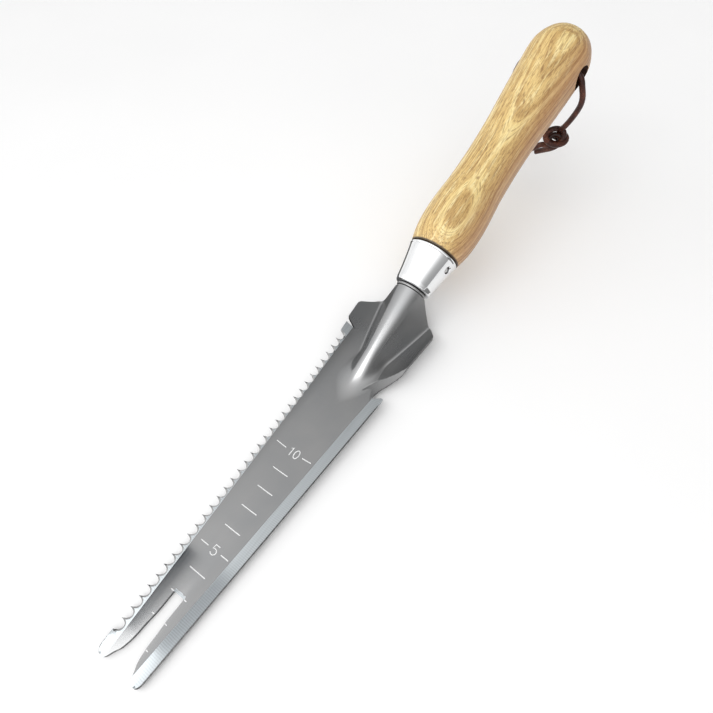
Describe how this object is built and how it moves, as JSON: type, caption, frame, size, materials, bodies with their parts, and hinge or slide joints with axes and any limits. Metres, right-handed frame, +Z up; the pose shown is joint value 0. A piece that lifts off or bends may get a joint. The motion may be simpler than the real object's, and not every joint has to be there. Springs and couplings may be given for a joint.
{
  "type": "hand trowel",
  "caption": "Narrow steel garden trowel with a forked tip, a toothed edge and a knife edge, on a turned wooden handle with a hanging loop.",
  "frame": {"origin": "on the surface that the blade lies on, under the middle of the tool's box", "axes": "+Y from the forked tip to the butt of the handle, +X to the knife edge, +Z up to the open side of the trough"},
  "size_m": [0.0428, 0.3382, 0.0864],
  "materials": {
    "blade_steel": "satin polished stainless sheet with ground edges and an etched scale",
    "rod_steel": "plain drawn steel",
    "ferrule_chrome": "bright plating",
    "handle_wood": "clear varnished hardwood with open grain",
    "thong_leather": "waxed dark brown leather cord"
  },
  "bodies": {
    "tool": {"blade": "blade_steel", "tang": "rod_steel", "ferrule": "ferrule_chrome", "ferrule_nail": "rod_steel", "handle": "handle_wood"},
    "lanyard": {"thong_right": "thong_leather", "thong_left": "thong_leather", "thong_knot": "thong_leather", "thong_tail_right": "thong_leather", "thong_tail_left": "thong_leather"}
  },
  "joints": [
    {"name": "lanyard_swing", "type": "hinge", "parent": "tool", "child": "lanyard", "pos_m": [0.0017, 0.14845, 0.06842], "axis": [0.9999, -0.0105, 0], "range_deg": [-35, 240]}
  ]
}
